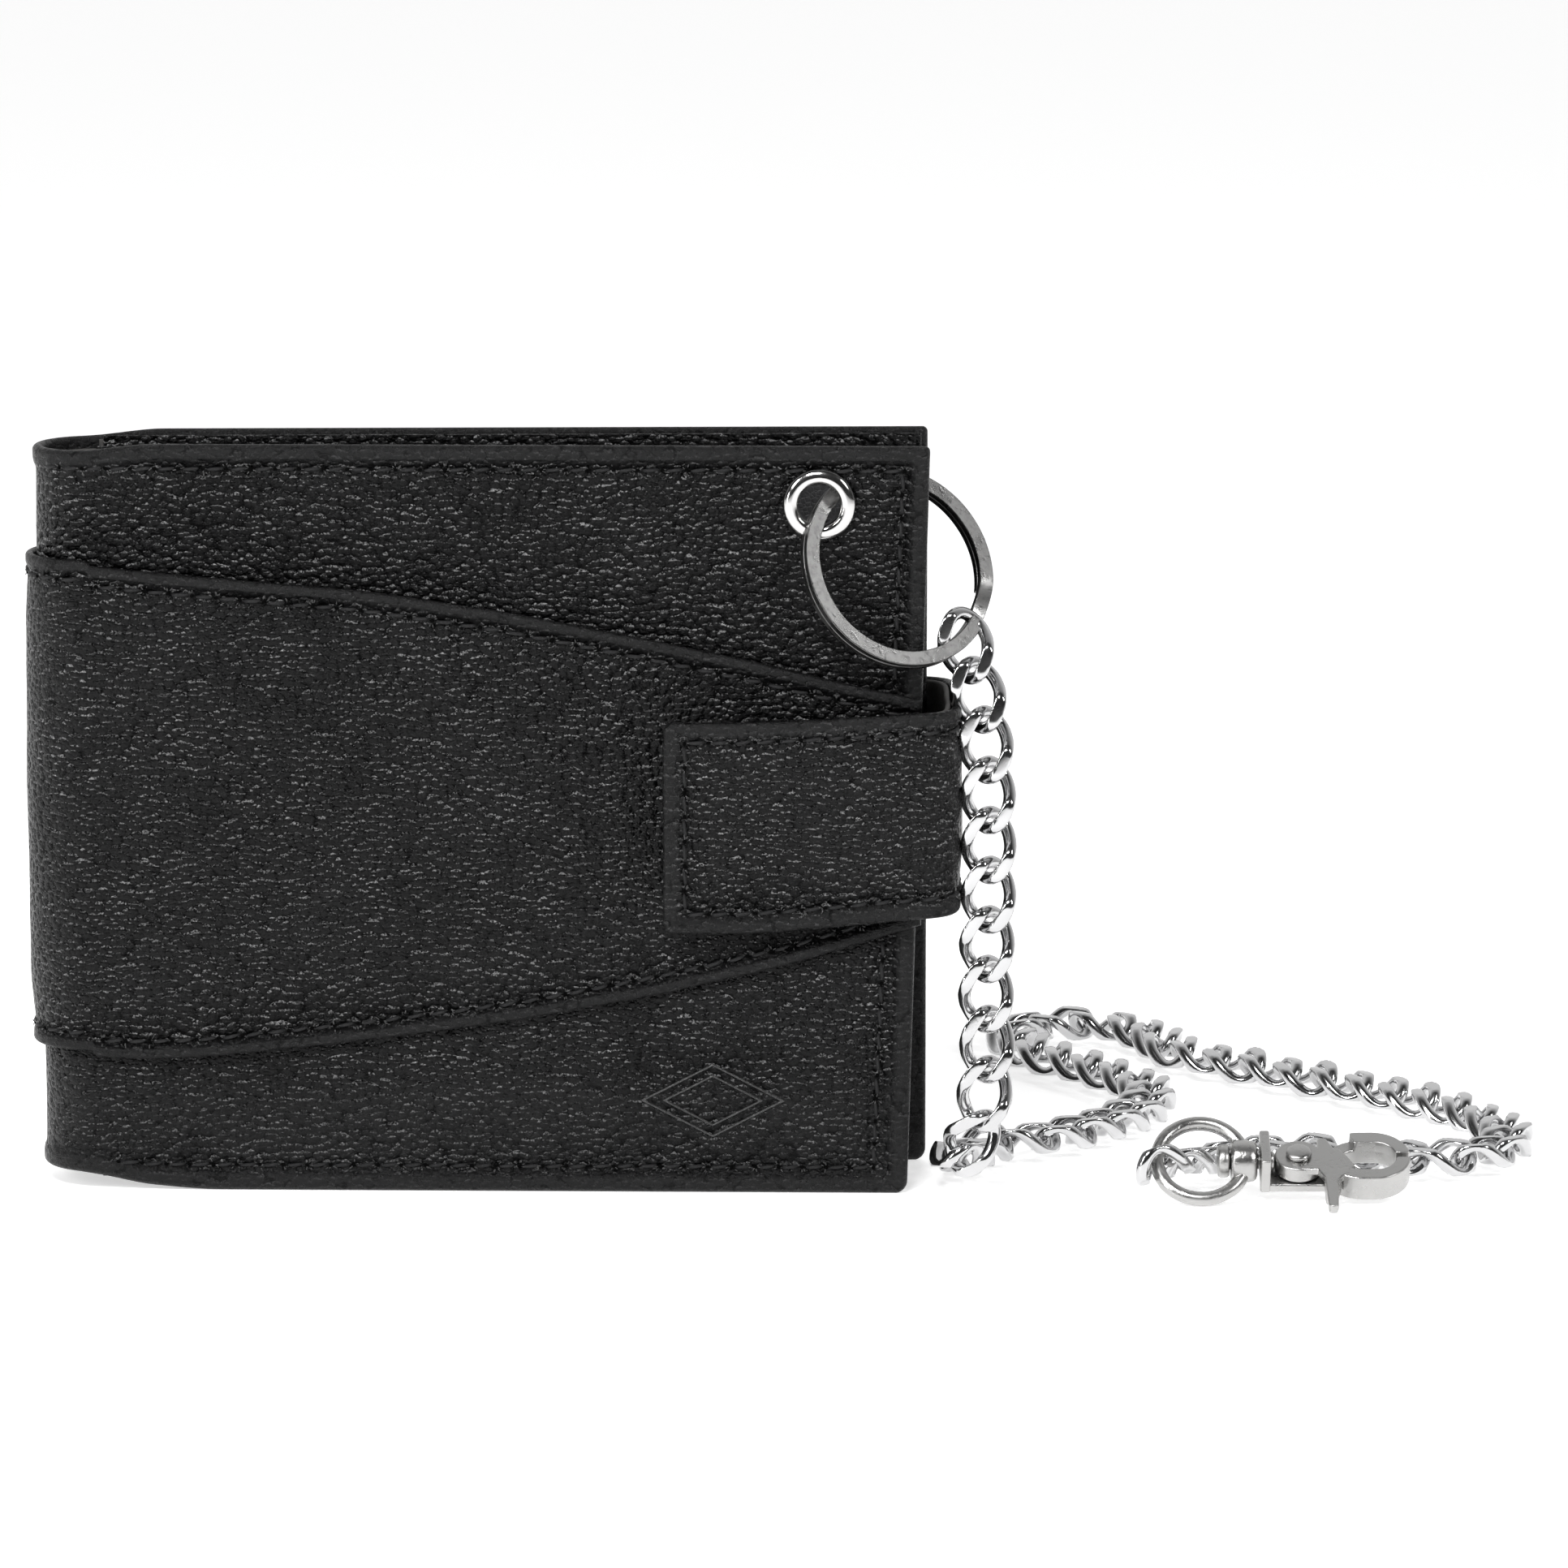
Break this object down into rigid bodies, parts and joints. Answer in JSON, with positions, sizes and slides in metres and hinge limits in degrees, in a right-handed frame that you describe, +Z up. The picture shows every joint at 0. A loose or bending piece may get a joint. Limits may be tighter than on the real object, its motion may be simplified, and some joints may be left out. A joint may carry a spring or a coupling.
{
  "type": "chain wallet",
  "caption": "Bifold leather wallet standing on edge, with a snap strap, an overlay band, an eyelet and split ring, a long curb chain and a swivel trigger clasp.",
  "frame": {"origin": "middle of the footprint of the standing wallet with its ring, on the surface it stands on", "axes": "+Z up, +X from the spine towards the opening edge, +Y from the front cover towards the back cover"},
  "size_m": [0.1955, 0.1057, 0.0975],
  "materials": {
    "black_leather": "pebbled grain, semi-gloss",
    "pocket_leather": "smooth, satin",
    "lining_leather": "fine flesh side, matt",
    "polished_nickel": "polished",
    "antique_nickel": "satin, darkened",
    "polished_chain": "polished with filed flats",
    "cast_nickel": "cast, tumbled, light wear",
    "spring_steel": "bright"
  },
  "bodies": {
    "front_half": {"front_cover": "black_leather", "front_lining": "lining_leather", "front_inner_wall": "pocket_leather", "front_card_pocket_high": "pocket_leather", "front_card_pocket_mid": "pocket_leather", "front_card_pocket_low": "pocket_leather", "front_band": "black_leather", "front_ornament": "black_leather", "spine_cover": "black_leather", "spine_lining": "lining_leather", "spine_band": "black_leather", "eyelet_flange": "polished_nickel", "eyelet_washer": "polished_nickel", "snap_stud": "polished_nickel", "snap_stud_base": "polished_nickel", "chain_hanging": "polished_chain", "chain_curl": "polished_chain", "chain_floor_left": "polished_chain", "chain_floor_far": "polished_chain", "chain_floor_back": "polished_chain", "chain_floor_right": "polished_chain", "chain_end": "polished_chain", "clasp_swivel_eye": "cast_nickel"},
    "back_half": {"back_cover": "black_leather", "back_lining": "lining_leather", "back_inner_wall": "pocket_leather", "back_card_pocket_high": "pocket_leather", "back_card_pocket_mid": "pocket_leather", "back_card_pocket_low": "pocket_leather", "back_band": "black_leather", "strap_anchor": "black_leather"},
    "closing_strap": {"strap_tab": "black_leather", "strap_tab_lining": "lining_leather", "snap_socket": "polished_nickel", "snap_socket_cap": "polished_nickel"},
    "split_ring": {"split_ring": "antique_nickel"},
    "clasp_hook": {"clasp_body": "cast_nickel", "clasp_swivel_pin": "cast_nickel", "clasp_rivet": "cast_nickel", "clasp_spring": "spring_steel"},
    "clasp_lever": {"clasp_lever": "cast_nickel"}
  },
  "joints": [
    {"name": "cover_open", "type": "hinge", "parent": "front_half", "child": "back_half", "pos_m": [-0.0535, 0.0014, 0.04875], "axis": [0, 0, 1], "range_deg": [0, 170], "deforming": ["spine_cover", "spine_lining", "spine_band"]},
    {"name": "strap_open", "type": "hinge", "parent": "back_half", "child": "closing_strap", "pos_m": [0.0557, -0.0112, 0.0493], "axis": [0, 0, 1], "range_deg": [0, 85]},
    {"name": "ring_turn", "type": "hinge", "parent": "front_half", "child": "split_ring", "pos_m": [0.0497, -0.00586, 0.08154], "axis": [0.4341, -0.7894, 0.4341], "continuous": true},
    {"name": "clasp_swivel", "type": "hinge", "parent": "front_half", "child": "clasp_hook", "pos_m": [0.0965, -0.0116, 0.00505], "axis": [1, 0, 0], "continuous": true},
    {"name": "lever_open", "type": "hinge", "parent": "clasp_hook", "child": "clasp_lever", "pos_m": [0.1015, -0.0116, 0.00505], "axis": [0, 0.4226, -0.9063], "range_deg": [0, 22], "stiffness_Nm_per_rad": 0.02, "springref_deg": -11.46}
  ]
}
